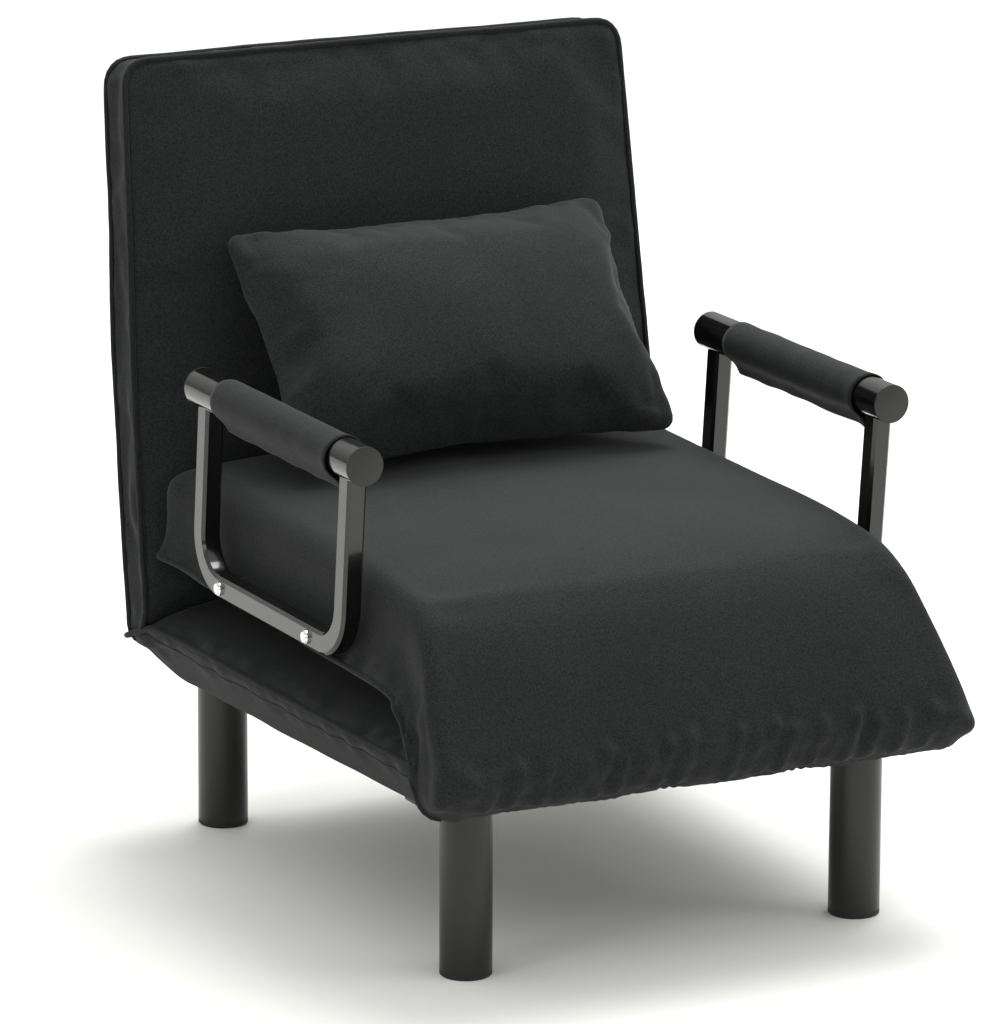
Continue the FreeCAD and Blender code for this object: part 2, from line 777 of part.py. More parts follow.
def roll_section(x, narrowing):
    # The fold at the front: a round face down to the nose, and the hem turned in under it
    def at(y, z):
        return vec(x, y, z)

    back_y = seat_front_y - seat_roll_gap
    nose_y = roll_nose_y + narrowing
    top_z = seat_crown_z - seat_front_fall - seat_roll_gap - narrowing
    face_y = (back_y + nose_y) / 2 - roll_bulge
    face_z = (top_z + roll_nose_z) / 2 + roll_bulge
    hem_y = nose_y + roll_hem_inset
    ring = curved(at(back_y, top_z), at(face_y, face_z), at(nose_y, roll_nose_z), roll_face_flats)
    ring += curved(at(nose_y, roll_nose_z), at(nose_y - 1, roll_nose_z - roll_turn), at(hem_y, roll_hem_z),
                   roll_turn_flats)
    return ring + [at(hem_y, roll_hem_z), at(back_y, roll_hem_z - roll_hem_inset / 2)]


def front_roll():
    rows = []
    for share in (-1, -0.97, -0.9, -0.8, -0.5, 0, 0.5, 0.8, 0.9, 0.97, 1):
        x = share * roll_half
        over = max(0.0, abs(x) - (roll_half - roll_end_length)) / roll_end_length
        rows.append((x, roll_end_narrowing * (0.25 * share ** 2 + 0.75 * over ** 3)))
    roll = quilted([roll_section(*row) for row in rows])
    g = cover_gap
    x0 = base_frame_half_width - pin_head - g
    low = fold_link(fold_boss + swing_gap, x0, outer_plate_x, base_frame_z + base_tube_height / 2)
    high = fold_link(fold_boss + swing_gap, outer_plate_x - g, outer_plate_end_x + g,
                     seat_frame_z + seat_tube_height / 2)
    pivot = rod(fold_boss + swing_gap, vec(x0, fold_y, fold_z), vec(pin_end_x + g, fold_y, fold_z))
    tools = []
    for tool in (low, high, pivot):
        tools += both_sides(tool)
    return cut_by(roll, tools)


def back_half_at(height):
    # Half width of the backrest: it narrows a little to the top and ends in round corners
    share = max(0.0, min(1.0, height / (back_top - back_corner_radius)))
    half = back_half_low + (back_half_high - back_half_low) * share ** 2
    over = height - (back_top - back_corner_radius)
    if over > 0:
        half -= back_corner_radius - math.sqrt(max(back_corner_radius ** 2 - over ** 2, 0))
    return half


def back_section(height, crown, shrink):
    half = back_half_at(height) - shrink
    front = back_front_depth + shrink
    rear = back_rear_depth - shrink / 2
    middle = (front + rear) / 2

    def at(x, depth):
        return vec(x, depth, height)

    ring = curved(at(-half, front), at(0, front - crown), at(half, front), back_crown_flats)
    ring += [at(half, front), at(half - back_side_draw, middle), at(half, rear)]
    return ring + [at(-half, rear), at(-half + back_side_draw, middle)]


def back_pad():
    c = back_crown
    r = back_corner_radius
    rows = [(back_bottom, 0.5, 4), (back_bottom + 10, 0.6, 0), (60, 2, 0), (130, 0.6 * c, 0), (220, 0.92 * c, 0),
            (330, c, 0), (440, 0.88 * c, 0), (back_top - r - 15, 0.5 * c, 0), (back_top - r / 2, 0.3 * c, 0),
            (back_top - r * 0.2, 0.14 * c, 0), (back_top, 0.5, 0)]
    pad = quilted([back_section(*row) for row in rows])
    g = seat_gap
    side = back_frame_half_width + g
    front = back_frame_depth - webbing_thickness - g
    rear = back_frame_depth + back_tube_depth + g
    tools = [block(-side, side, front, rear, back_frame_low - g, back_frame_high + g)]
    x0 = base_frame_half_width - pin_head - cover_gap
    x1 = pin_end_x + cover_gap
    slot = block(x0, x1, back_front_depth - 1, back_rear_depth + 4, back_bottom - 1, recline_boss + 6)
    strap = block(outer_plate_x - 1, outer_plate_end_x + g, back_frame_depth - g, rear, 0, recline_arm_length + g)
    eye = rod(recline_boss + swing_gap, vec(x0, 0, 0), vec(x1, 0, 0))
    ear_x = stand_half_width + stand_tube / 2
    ear = block(ear_x, ear_x + ear_thickness + 2 * g, 0, stand_pivot_depth,
                stand_pivot_height - ear_width / 2 - g, stand_pivot_height + ear_width / 2 + g)
    for tool in (slot, strap, eye, ear):
        tools += both_sides(tool)
    return to_back(cut_by(pad, tools))


def pillow():
    # Two panels sewn at a knife edge: thick in the middle, thin and drawn in at the edges
    half_w = pillow_width / 2
    half_h = pillow_height / 2
    rings = []
    for share in (-1.0, -0.96, -0.86, -0.7, -0.4, 0.0, 0.4, 0.7, 0.86, 0.96, 1.0):
        thick = pillow_thickness / 2 * max((1 - share ** 2) ** 0.55, 0.07)
        half = half_w * (0.955 + 0.045 * share ** 2) - (4 if abs(share) == 1 else 0)
        z = share * half_h
        left = vec(-half, 0, z)
        right = vec(half, 0, z)
        ring = curved(left, vec(0, -thick, z), right, pillow_flats)
        rings.append(ring + curved(right, vec(0, thick, z), left, pillow_flats))
    shape = quilted(rings)
    shape.rotate(vec(0, 0, 0), vec(1, 0, 0), -pillow_lean)
    shape.translate(vec(pillow_x, pillow_y, pillow_z))
    return shape


def build():
    os.makedirs("parts", exist_ok=True)
    spots = leg_spots()

    save("base_frame", [base_frame()])
    save("base_webbing", [webbing(base_frame_half_width, base_frame_front_y, base_rear_y - 6, base_frame_top_z)])
    save("base_pad", [base_pad()])
    for name, x, y in spots:
        save("leg_" + name, [leg(x, y)])
    save("leg_feet", [leg_foot(x, y) for name, x, y in spots])
    save("leg_plates", [leg_plate(x, y) for name, x, y in spots])
    save("leg_studs", [leg_stud(x, y) for name, x, y in spots])

    pairs = [("fold_plate_base", fold_plate_base), ("recline_plate_base", recline_plate_base),
             ("recline_pawl", recline_pawl), ("fold_plate_seat", fold_plate_seat),
             ("recline_plate_back", recline_plate_back), ("arm_frame", arm_frame), ("arm_bar", arm_bar),
             ("arm_sleeve", arm_sleeve)]
    for name, make in pairs:
        right = make()
        save(name + "_right", [right])
        save(name + "_left", [mirrored(right)])
    save("fold_pins", both_sides(hinge_pin(fold_y, fold_z)))
    save("recline_pins", both_sides(hinge_pin(recline_y, recline_z)))

    save("seat_frame", [seat_frame()])
    save("seat_webbing", [webbing(seat_frame_half_width, seat_frame_front_y, seat_frame_rear_y, seat_frame_top_z)])
    save("seat_pad", [seat_pad()])
    save("front_roll", [front_roll()])
    caps = [bar_end_cap(bar_front_y, -1), bar_end_cap(bar_rear_y, 1)]
    save("bar_end_caps", caps + [mirrored(cap) for cap in caps])
    bolts = [arm_bolt(y) for y in arm_bolt_y]
    save("arm_bolts", bolts + [mirrored(bolt) for bolt in bolts])
    spacers = [arm_spacer(y) for y in arm_bolt_y]
    save("arm_spacers", spacers + [mirrored(spacer) for spacer in spacers])

    save("back_frame", [back_frame()])
    flat = webbing(back_frame_half_width, back_frame_low, back_frame_high, -back_frame_depth)
    save("back_webbing", [to_back(upright(flat))])
    save("back_pad", [back_pad()])
    save("head_stand", [head_stand()])
    save("stand_ears", both_sides(stand_ear()))
    save("stand_bolts", both_sides(stand_bolt()))
    save("stand_feet", both_sides(stand_foot()))
    save("pillow", [pillow()])


build()
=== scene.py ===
# %% [markdown]
# A chair bed, dressed for a photograph
# The frame holds the steel parts at their real size. This script adds what the eye sees: the padded
# covers, their piping, the sleeves on the arms and every finish. A text comes before most steps.

# %% The frame
import json
import math

import bmesh
import bpy
from mathutils import Matrix, Vector, kdtree, noise


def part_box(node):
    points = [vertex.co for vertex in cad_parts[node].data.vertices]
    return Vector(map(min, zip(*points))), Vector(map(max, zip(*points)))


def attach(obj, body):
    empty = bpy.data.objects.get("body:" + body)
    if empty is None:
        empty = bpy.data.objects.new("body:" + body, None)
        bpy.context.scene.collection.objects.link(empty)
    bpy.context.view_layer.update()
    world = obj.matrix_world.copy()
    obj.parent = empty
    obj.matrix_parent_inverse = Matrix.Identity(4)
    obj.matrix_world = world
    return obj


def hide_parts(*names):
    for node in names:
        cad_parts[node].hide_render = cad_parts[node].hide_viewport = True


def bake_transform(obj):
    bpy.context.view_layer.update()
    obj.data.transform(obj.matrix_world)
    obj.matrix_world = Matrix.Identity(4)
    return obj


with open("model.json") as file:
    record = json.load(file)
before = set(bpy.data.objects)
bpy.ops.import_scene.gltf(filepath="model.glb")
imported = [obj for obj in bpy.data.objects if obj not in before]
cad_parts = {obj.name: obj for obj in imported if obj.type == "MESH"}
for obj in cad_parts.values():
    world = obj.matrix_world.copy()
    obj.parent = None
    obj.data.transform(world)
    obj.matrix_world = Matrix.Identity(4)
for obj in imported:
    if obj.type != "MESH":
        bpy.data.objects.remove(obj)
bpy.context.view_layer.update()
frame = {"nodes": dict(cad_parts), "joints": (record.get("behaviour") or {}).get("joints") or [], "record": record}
joints = {joint["name"]: joint for joint in frame["joints"]}
print("pieces in the frame:", len(frame["nodes"]))

# %% [markdown]
# Where things are
# Places are measured from the steel parts. `at` takes millimetres from the floor under the middle of
# the four legs. `on_back` takes millimetres from the recline hinge, along the leaning backrest.

# %% Places
MM = 0.001
RECLINE = Vector(joints["backrest_recline"]["pos_m"])
FRONT_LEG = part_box("leg_front_left")
REAR_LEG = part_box("leg_rear_left")
LEGS_MIDDLE_Y = (FRONT_LEG[0].y + REAR_LEG[1].y) / 2
LEAN = math.radians(90 - joints["backrest_recline"]["range_deg"][1])


def at(x, y, z):
    return Vector((x * MM, LEGS_MIDDLE_Y + y * MM, z * MM))


def on_back(x, depth, up):
    """A point on the backrest: depth behind its hinge's plane, and up along its lean."""
    y = math.sin(LEAN) * up + math.cos(LEAN) * depth
    z = math.cos(LEAN) * up - math.sin(LEAN) * depth
    return RECLINE + Vector((x, y, z)) * MM


# %% [markdown]
# The camera
# The photograph was taken from the chair's front left, a little above it, through a long lens. The
# place and the lens below were worked out from the legs, the arm bars and the floor in the picture.

# %% Camera
IMAGE_WIDTH = 1001
IMAGE_HEIGHT = 1024
SENSOR = 36.0
FOCAL_PIXELS = 6536.0
CAMERA_PLACE = at(-2864.8, -5469.6, 1947.7)
CAMERA_RIGHT = Vector((0.888801, -0.458270, 0.004589))
CAMERA_UP = Vector((0.110115, 0.223262, 0.968519))

camera_data = bpy.data.cameras.new("camera")
camera_data.sensor_width = SENSOR
camera_data.lens = FOCAL_PIXELS * SENSOR / max(IMAGE_WIDTH, IMAGE_HEIGHT)
camera = bpy.data.objects.new("camera", camera_data)
turn = Matrix((CAMERA_RIGHT, CAMERA_UP, CAMERA_RIGHT.cross(CAMERA_UP))).transposed()
camera.matrix_world = Matrix.Translation(CAMERA_PLACE) @ turn.to_4x4()
bpy.context.scene.collection.objects.link(camera)
bpy.context.scene.camera = camera
print("lens in millimetres:", round(camera_data.lens, 1))

# %% [markdown]
# Colours and nodes
# Colours are written as the eye reads them on a screen, and Blender wants them linear. Every material
# below is a small net of nodes, so one helper adds a node, sets it and wires its inputs.


# %% Helpers for finishes
def linear(hex_colour):
    values = [int(hex_colour[i:i + 2], 16) / 255 for i in (1, 3, 5)]
    return tuple(v / 12.92 if v <= 0.04045 else ((v + 0.055) / 1.055) ** 2.4 for v in values) + (1.0,)


def add_node(tree, kind, inputs=None, **settings):
    node = tree.nodes.new(kind)
    for name, value in settings.items():
        setattr(node, name, value)
    for name, value in (inputs or {}).items():
        if isinstance(value, bpy.types.NodeSocket):
            tree.links.new(value, node.inputs[name])
        else:
            node.inputs[name].default_value = value
    return node


def new_material(name):
    material = bpy.data.materials.new(name)
    material.use_nodes = True
    tree = material.node_tree
    shader = tree.nodes["Principled BSDF"]
    return material, tree, shader


def dress(piece, material):
    piece.data.materials.clear()
    piece.data.materials.append(material)


# %% [markdown]
# Upholstery cloth
# The cover is a charcoal melange weave: dark yarns with lighter fibres spun in, so from a step away
# it reads as a soft neutral speckle. Real threads are about half a millimetre wide. They are drawn
# about twice as coarse, because finer ones vanish in the picture.

# %% Charcoal melange cloth
THREAD_MM = 1.1
FIBRE_SPREAD = 1.6


def cloth_material(name, dark, light, speckle):
    material, tree, shader = new_material(name)
    place = add_node(tree, "ShaderNodeTexCoord").outputs["Object"]
    fibres = add_node(tree, "ShaderNodeTexNoise", {"Vector": place, "Detail": 3.0, "Roughness": 0.75,
                                                   "Scale": 1 / (THREAD_MM * MM * FIBRE_SPREAD)})
    drift = add_node(tree, "ShaderNodeTexNoise", {"Vector": place, "Scale": 9.0, "Detail": 3.0})
    sharp = add_node(tree, "ShaderNodeMapRange", {"Value": fibres.outputs["Fac"], "From Min": 0.36,
                                                  "From Max": 0.66})
    yarn = add_node(tree, "ShaderNodeMix", {"Factor": sharp.outputs["Result"], "A": linear(dark),
                                            "B": linear(light)}, data_type="RGBA")
    faded = add_node(tree, "ShaderNodeMapRange", {"Value": drift.outputs["Fac"], "From Min": 0.3,
                                                  "From Max": 0.7, "To Min": 0.9, "To Max": 1.1})
    toned = add_node(tree, "ShaderNodeHueSaturation", {"Color": yarn.outputs["Result"],
                                                       "Value": faded.outputs["Result"]})
    weft = add_node(tree, "ShaderNodeTexVoronoi", {"Vector": place, "Scale": 1 / (THREAD_MM * MM)})
    bump = add_node(tree, "ShaderNodeBump", {"Height": weft.outputs["Distance"], "Strength": speckle,
                                             "Distance": 0.0004})
    tree.links.new(toned.outputs["Color"], shader.inputs["Base Color"])
    tree.links.new(bump.outputs["Normal"], shader.inputs["Normal"])
    shader.inputs["Roughness"].default_value = 0.85
    shader.inputs["IOR"].default_value = 1.45
    shader.inputs["Specular IOR Level"].default_value = 0.25
    shader.inputs["Sheen Weight"].default_value = 0.06
    shader.inputs["Sheen Roughness"].default_value = 0.45
    return material


cover_cloth = cloth_material("charcoal_melange_cloth", "#0f1010", "#282a2b", 0.6)
# The piping cloth is the cover cloth made darker: painted shade, so every seam reads as a dark line
piping_cloth_darkened_as_shade = cloth_material("piping_cloth_darkened_as_shade", "#0d0e0e", "#232526", 0.4)

# %% [markdown]
# Painted steel
# The arms are rolled steel tube with a gloss stove enamel, which mirrors the softboxes as hard bright
# streaks. The legs carry a satin powder coat, and a fine orange peel breaks up what they mirror.


# %% Enamel, powder coat, plastic and chrome
def painted_material(name, colour, roughness, peel_mm, peel_strength, coat=0.0):
    material, tree, shader = new_material(name)
    place = add_node(tree, "ShaderNodeTexCoord").outputs["Object"]
    peel = add_node(tree, "ShaderNodeTexNoise", {"Vector": place, "Scale": 1 / (peel_mm * MM), "Detail": 2.0})
    bump = add_node(tree, "ShaderNodeBump", {"Height": peel.outputs["Fac"], "Strength": peel_strength,
                                             "Distance": 0.0002})
    wear = add_node(tree, "ShaderNodeTexNoise", {"Vector": place, "Scale": 30.0, "Detail": 4.0})
    rough = add_node(tree, "ShaderNodeMapRange", {"Value": wear.outputs["Fac"], "To Min": roughness * 0.8,
                                                  "To Max": roughness * 1.25})
    tree.links.new(bump.outputs["Normal"], shader.inputs["Normal"])
    tree.links.new(rough.outputs["Result"], shader.inputs["Roughness"])
    shader.inputs["Base Color"].default_value = linear(colour)
    shader.inputs["Coat Weight"].default_value = coat
    shader.inputs["Coat Roughness"].default_value = 0.05
    return material


def metal_material(name, colour, roughness):
    material, tree, shader = new_material(name)
    place = add_node(tree, "ShaderNodeTexCoord").outputs["Object"]
    grain = add_node(tree, "ShaderNodeTexNoise", {"Vector": place, "Scale": 900.0, "Detail": 2.0})
    rough = add_node(tree, "ShaderNodeMapRange", {"Value": grain.outputs["Fac"], "To Min": roughness * 0.7,
                                                  "To Max": roughness * 1.4})
    tree.links.new(rough.outputs["Result"], shader.inputs["Roughness"])
    shader.inputs["Base Color"].default_value = linear(colour)
    shader.inputs["Metallic"].default_value = 1.0
    return material


gloss_enamel = painted_material("gloss_black_enamel", "#0b0b0b", 0.16, 6.0, 0.05, coat=0.4)
satin_coat = painted_material("satin_black_powder_coat", "#080808", 0.3, 1.2, 0.25)
hidden_coat = painted_material("plain_black_powder_coat", "#161616", 0.45, 1.2, 0.25)
cap_plastic = painted_material("satin_moulded_plastic", "#1c1c1c", 0.38, 2.0, 0.1)
foot_plastic = painted_material("matt_moulded_plastic", "#101010", 0.6, 2.0, 0.1)
strap_weave = cloth_material("black_elastic_webbing", "#0c0c0c", "#1a1a1a", 0.5)
chrome_plate = metal_material("chrome_plate", "#d9dadb", 0.08)
zinc_plate = metal_material("zinc_plate", "#8f9192", 0.3)

FINISH_OF_SLOT = {"steel_black": hidden_coat, "arm_gloss": gloss_enamel, "leg_satin": satin_coat,
                  "webbing": strap_weave, "cover_cloth": cover_cloth, "foot_plastic": foot_plastic,
                  "cap_plastic": cap_plastic, "chrome": chrome_plate, "zinc_steel": zinc_plate}
for row in frame["record"]["subparts"]:
    dress(frame["nodes"][row["node"]], FINISH_OF_SLOT[row["material_slot"]])

# %% [markdown]
# How the padded covers are made
# Real upholstery is a cloth box sewn from panels and filled with foam. Each cover below starts as a
# cube that is cut into a fine grid, and a function then puts every point in its place. A cube keeps
# neat rows of points, so a seam is a row that can be picked later for its piping. Every point keeps
# its three shares, from 0 to 1 across, along and through the pad, in the returned list.


# %% A box of cloth
def cloth_box(name, cuts, place):
    bm = bmesh.new()
    bmesh.ops.create_cube(bm, size=1.0)
    for axis, count in enumerate(cuts):
        along = [edge for edge in bm.edges if abs((edge.verts[0].co - edge.verts[1].co)[axis]) > 0.5]
        bmesh.ops.subdivide_edges(bm, edges=along, cuts=count - 1, use_grid_fill=True)
    shares = [tuple(round(value + 0.5, 6) for value in vert.co) for vert in bm.verts]
    for vert, share in zip(bm.verts, shares):
        vert.co = place(*share)
    bmesh.ops.recalc_face_normals(bm, faces=bm.faces[:])
    mesh = bpy.data.meshes.new(name)
    bm.to_mesh(mesh)
    bm.free()
    piece = bpy.data.objects.new(name, mesh)
    bpy.context.scene.collection.objects.link(piece)
    return piece, shares


def softened(point, half, radius, sides):
    """Rounds the edges of a box: sides says for each axis whether its low and its high face take part."""
    over = []
    for value, size, (low, high) in zip(point, half, sides):
        beyond = max(0.0, abs(value) - (size - radius)) / radius
        counts = high if value > 0 else low
        over.append(math.copysign(beyond, value) if counts else 0.0)
    x, y, z = (value * value for value in over)
    ball = (over[0] * math.sqrt(1 - y / 2 - z / 2 + y * z / 3),
            over[1] * math.sqrt(1 - x / 2 - z / 2 + x * z / 3),
            over[2] * math.sqrt(1 - x / 2 - y / 2 + x * y / 3))
    return [value + (after - before) * radius for value, before, after in zip(point, over, ball)]


def smooth_path(points, position):
    """A point on the smooth curve through the points; 1.5 is midway from the second to the third."""
    index = max(0, min(len(points) - 2, int(position)))
    t = position - index
    p0, p1, p2, p3 = (points[max(0, min(len(points) - 1, index + step))] for step in (-1, 0, 1, 2))
    return [b + 0.5 * t * (c - a + t * (2 * a - 5 * b + 4 * c - d + t * (3 * (b - c) + d - a)))
            for a, b, c, d in zip(p0, p1, p2, p3)]


# %% [markdown]
# Letting the cloth settle
# Foam pushes its cover outwards while the seams hold, and that is what Blender's cloth solver can do:
# seam points are pinned, a pressure acts inside, and the cloth is cut a little too large so that it
# wrinkles. No point may move further than a cap. Afterwards the result is kept and the solver removed.


# %% Cloth and folds
CLOTH_FRAMES = 18
# A fold reaches this many widths to each side, and its ridges have their own place and height
FOLD_REACH = 4.5
RIDGE_PLACE = 1.7
RIDGE_HEIGHT = 0.45
# A fold fades towards its ends like this stretch of a sine, made fuller by the power
FADE_START = 0.12
FADE_SPAN = 0.8
FADE_POWER = 0.7


def settle(piece, pinned, pressure, ease, cap_mm):
    group = piece.vertex_groups.new(name="seams")
    group.add(pinned, 1.0, "REPLACE")
    rest = [vert.co.copy() for vert in piece.data.vertices]
    cloth = piece.modifiers.new("cloth", "CLOTH")
    cloth.settings.quality = 4
    cloth.settings.mass = 0.15
    cloth.settings.tension_stiffness = 12.0
    cloth.settings.compression_stiffness = 12.0
    cloth.settings.shear_stiffness = 3.0
    cloth.settings.bending_stiffness = 0.3
    cloth.settings.air_damping = 4.0
    cloth.settings.use_pressure = True
    cloth.settings.uniform_pressure_force = pressure
    cloth.settings.shrink_min = -ease
    cloth.settings.vertex_group_mass = "seams"
    cloth.settings.effector_weights.gravity = 0.0
    cloth.point_cache.frame_start = 1
    cloth.point_cache.frame_end = CLOTH_FRAMES
    for frame_number in range(1, CLOTH_FRAMES + 1):
        bpy.context.scene.frame_set(frame_number)
    settled = piece.evaluated_get(bpy.context.evaluated_depsgraph_get()).data
    moved = [vert.co.copy() for vert in settled.vertices]
    piece.modifiers.remove(cloth)
    piece.vertex_groups.clear()
    bpy.context.scene.frame_set(1)
    furthest = 0.0
    for vert, before, after in zip(piece.data.vertices, rest, moved):
        step = after - before
        furthest = max(furthest, step.length)
        if step.length > cap_mm * MM:
            step *= cap_mm * MM / step.length
        vert.co = before + step
    print(piece.name, "settled, furthest point in mm:", round(furthest / MM, 1))


def relax(piece, held, times):
    """Evens out the free points, so that no ridge is left where the solver stopped a point."""
    bm = bmesh.new()
    bm.from_mesh(piece.data)
    bm.verts.ensure_lookup_table()
    fixed = set(held)
    free = [vert for vert in bm.verts if vert.index not in fixed]
    for _ in range(times):
        bmesh.ops.smooth_vert(bm, verts=free, factor=0.5, use_axis_x=True, use_axis_y=True, use_axis_z=True)
    bm.to_mesh(piece.data)
    bm.free()


def refine(piece):
    """Rounds the grid with one subdivision. The first points keep their numbers, so seams stay known."""
    smoothing = piece.modifiers.new("smoothing", "SUBSURF")
    smoothing.levels = 1
    smoothing.render_levels = 1
    mesh = bpy.data.meshes.new_from_object(piece.evaluated_get(bpy.context.evaluated_depsgraph_get()))
    piece.modifiers.remove(smoothing)
    piece.data = mesh
    mesh.shade_smooth()


def crease(piece, folds):
    """Presses folds into cloth: each is (start, end, depth, width), with a soft ridge on both sides."""
    verts = piece.data.vertices
    normals = [vert.normal.copy() for vert in verts]
    push = [0.0] * len(verts)
    for start, end, depth, width in folds:
        run = end - start
        for index, vert in enumerate(verts):
            share = max(0.0, min(1.0, (vert.co - start).dot(run) / run.length_squared))
            away = (vert.co - start - run * share).length / (width * MM)
            if away > FOLD_REACH:
                continue
            fade = math.sin(math.pi * (FADE_START + FADE_SPAN * share)) ** FADE_POWER
            ridge = RIDGE_HEIGHT * math.exp(-(away - RIDGE_PLACE) ** 2)
            push[index] += depth * MM * fade * (ridge - math.exp(-away * away))
    for vert, normal, amount in zip(verts, normals, push):
        vert.co += normal * amount


def ripple(piece, height_mm, spacing_mm, seed):
    """Slow unevenness, as foam and a hand leave in any cover."""
    for vert, normal in [(vert, vert.normal.copy()) for vert in piece.data.vertices]:
        wave = noise.noise(vert.co / (spacing_mm * MM) + Vector((seed, seed, seed)))
        vert.co += normal * wave * height_mm * MM


# %% [markdown]
# Gathers
# Where cloth is eased into a seam it gathers: small uneven puckers that are deepest a finger's width
# from the piping. They come from noise that fades with the distance to the nearest seam point.


# %% Gathers beside a seam
GATHER_SPREAD = 0.8
FLAT_BY_SEAM_MM = 4


def gather(piece, shares, key, depth_mm, spacing_mm, reach_mm, seed):
    verts = piece.data.vertices
    seam = [verts[index].co.copy() for index, share in enumerate(shares) if key(*share) is not None]
    tree = kdtree.KDTree(len(seam))
    for index, spot in enumerate(seam):
        tree.insert(spot, index)
    tree.balance()
    for vert, normal in [(vert, vert.normal.copy()) for vert in verts]:
        distance = tree.find(vert.co)[2] / MM
        near = math.exp(-((distance - reach_mm) / (GATHER_SPREAD * reach_mm)) ** 2)
        near *= min(1.0, distance / FLAT_BY_SEAM_MM)
        wave = noise.noise(vert.co / (spacing_mm * MM) + Vector((seed, seed, seed)))
        vert.co += normal * wave * depth_mm * near * MM


# %% [markdown]
# Piping
# Piping is a cord of about 4 mm sewn into a strip of the cover cloth, so a round edge of about 6 mm
# runs along the seam. It is drawn as a curve with a round bevel along the picked row of seam points,
# then turned into a mesh. A plain seam is drawn in the same way, but thinner.


# %% Piping along a seam
PIPING_RADIUS = 3.1


def piping(name, cover, shares, key, closed, out_mm=1.4, radius=PIPING_RADIUS):
    """key gives each seam point its place in the row, and None for all others."""
    row = sorted((key(*share), index) for index, share in enumerate(shares) if key(*share) is not None)
    verts = cover.data.vertices
    data = bpy.data.curves.new(name, "CURVE")
    data.dimensions = "3D"
    data.bevel_depth = radius * MM
    data.bevel_resolution = 2
    data.use_fill_caps = True
    spline = data.splines.new("POLY")
    spline.points.add(len(row) - 1)
    for point, (_, index) in zip(spline.points, row):
        point.co = (*(verts[index].co + verts[index].normal * out_mm * MM), 1.0)
    spline.use_cyclic_u = closed
    line = bpy.data.objects.new(name, data)
    mesh = bpy.data.meshes.new_from_object(line)
    bpy.data.objects.remove(line)
    piece = bpy.data.objects.new(name, mesh)
    bpy.context.scene.collection.objects.link(piece)
    mesh.shade_smooth()
    # The piping and the plain seam take the darker cloth, which paints shade along the seam
    dress(piece, piping_cloth_darkened_as_shade)
    return piece


# %% [markdown]
# Seat cover
# The seat pad and the roll at its front share one cover. From the side it is a strip between two lines:
# the lower piping, and the top that rolls over the front down to the hem. Both lines were read from
# the photograph as depth and height in millimetres at matching stations, rear to front. The cover
# turns over with the seat while its hem stays on the base; here it is fixed in place, in neither body.

# %% Seat cover
SEAT_HALF = 272.0
SEAT_FRONT_HALF = 283.0
SEAT_EDGE_RADIUS = 30.0
ROUNDED_SHARE = 0.45
SEAT_CROWN = 11.0
SEAT_UNDER = 29.0
SEAT_STATIONS = [(284, 286, 268, 384), (150, 281, 150, 381), (0, 279, 0, 380), (-140, 277, -140, 377),
                 (-222, 276, -225, 366), (-258, 268, -276, 342), (-276, 250, -312, 300),
                 (-288, 214, -340, 252), (-304, 184, -359, 212), (-329, 171, -349, 184)]
SEAT_REAR_FLARE = 18.0
SEAT_SEAM_FLARE = 11.0
SEAM_FLARE_POWER = 14
SEAT_WAIST = 0.018
HEM_NARROWING = 15.0
ROLL_SHIFT = 7.0
ROLL_BULGE = 6.0
ROLL_FLATTENING = 0.4
UNDERSIDE_HELD_FROM = 0.55
# Each change of form happens between two stations, counted from 0 at the rear
REAR_FLARE_ENDS = (0.0, 0.75)
SEAM_FLARE_STARTS = (0.2, 0.9)
WIDENING = (4.0, 7.0)
ROLL_STARTS = (4.5, 7.0)
SHIFT_STARTS = (5.5, 8.0)
BULGE_STARTS = (6.0, 8.0)
HEM_STARTS = (8.2, 9.0)


def length_table(stations, steps=20):
    """How far along the top line each position is, to spread points evenly."""
    positions = [i / steps for i in range((len(stations) - 1) * steps + 1)]
    points = [smooth_path(stations, position)[2:] for position in positions]
    lengths = [0.0]
    for before, after in zip(points, points[1:]):
        lengths.append(lengths[-1] + math.dist(before, after))
    return positions, lengths


SEAT_POSITIONS, SEAT_LENGTHS = length_table(SEAT_STATIONS)


def station_at(distance):
    distance = max(0.0, min(SEAT_LENGTHS[-1], distance))
    for index in range(1, len(SEAT_LENGTHS)):
        if SEAT_LENGTHS[index] >= distance:
            break
    before = SEAT_LENGTHS[index - 1]
    share = (distance - before) / (SEAT_LENGTHS[index] - before)
    return SEAT_POSITIONS[index - 1] + share * (SEAT_POSITIONS[index] - SEAT_POSITIONS[index - 1])


def smooth_step(value, low, high):
    share = max(0.0, min(1.0, (value - low) / (high - low)))
    return share * share * (3 - 2 * share)


